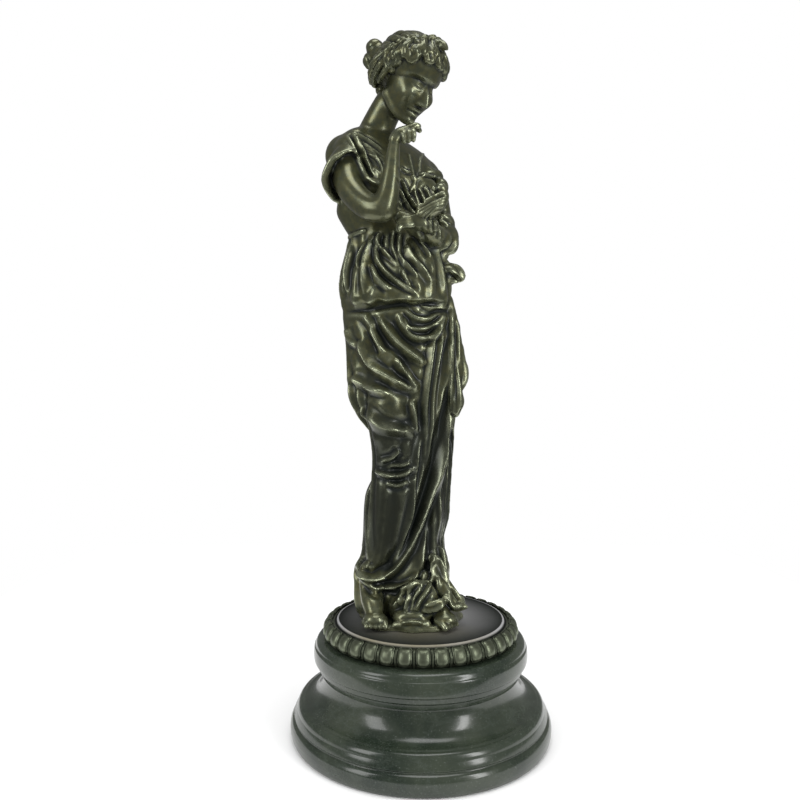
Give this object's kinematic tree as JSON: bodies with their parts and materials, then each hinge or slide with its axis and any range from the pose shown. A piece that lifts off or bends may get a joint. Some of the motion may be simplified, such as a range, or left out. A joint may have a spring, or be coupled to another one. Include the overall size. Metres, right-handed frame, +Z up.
{
  "type": "woman statue",
  "caption": "Cast bronze statue of a draped woman holding a small bird, one hand at her chin, on a gadrooned bronze base and a turned marble plinth.",
  "frame": {"origin": "middle of the marble plinth's underside, where the statue stands", "axes": "+Z up along the figure's height, -Y towards the viewer of the picture, +X to the viewer's right"},
  "size_m": [0.1696, 0.1696, 0.4549],
  "materials": {
    "figure_bronze": "patinated bronze, dark olive brown in the hollows and rubbed on the crests",
    "base_bronze": "patinated bronze, darker and duller than the figure",
    "marble": "polished dark green marble with a fine speckle"
  },
  "bodies": {
    "root": {"woman_figure": "figure_bronze", "gadrooned_base": "base_bronze", "marble_plinth": "marble"}
  },
  "joints": []
}
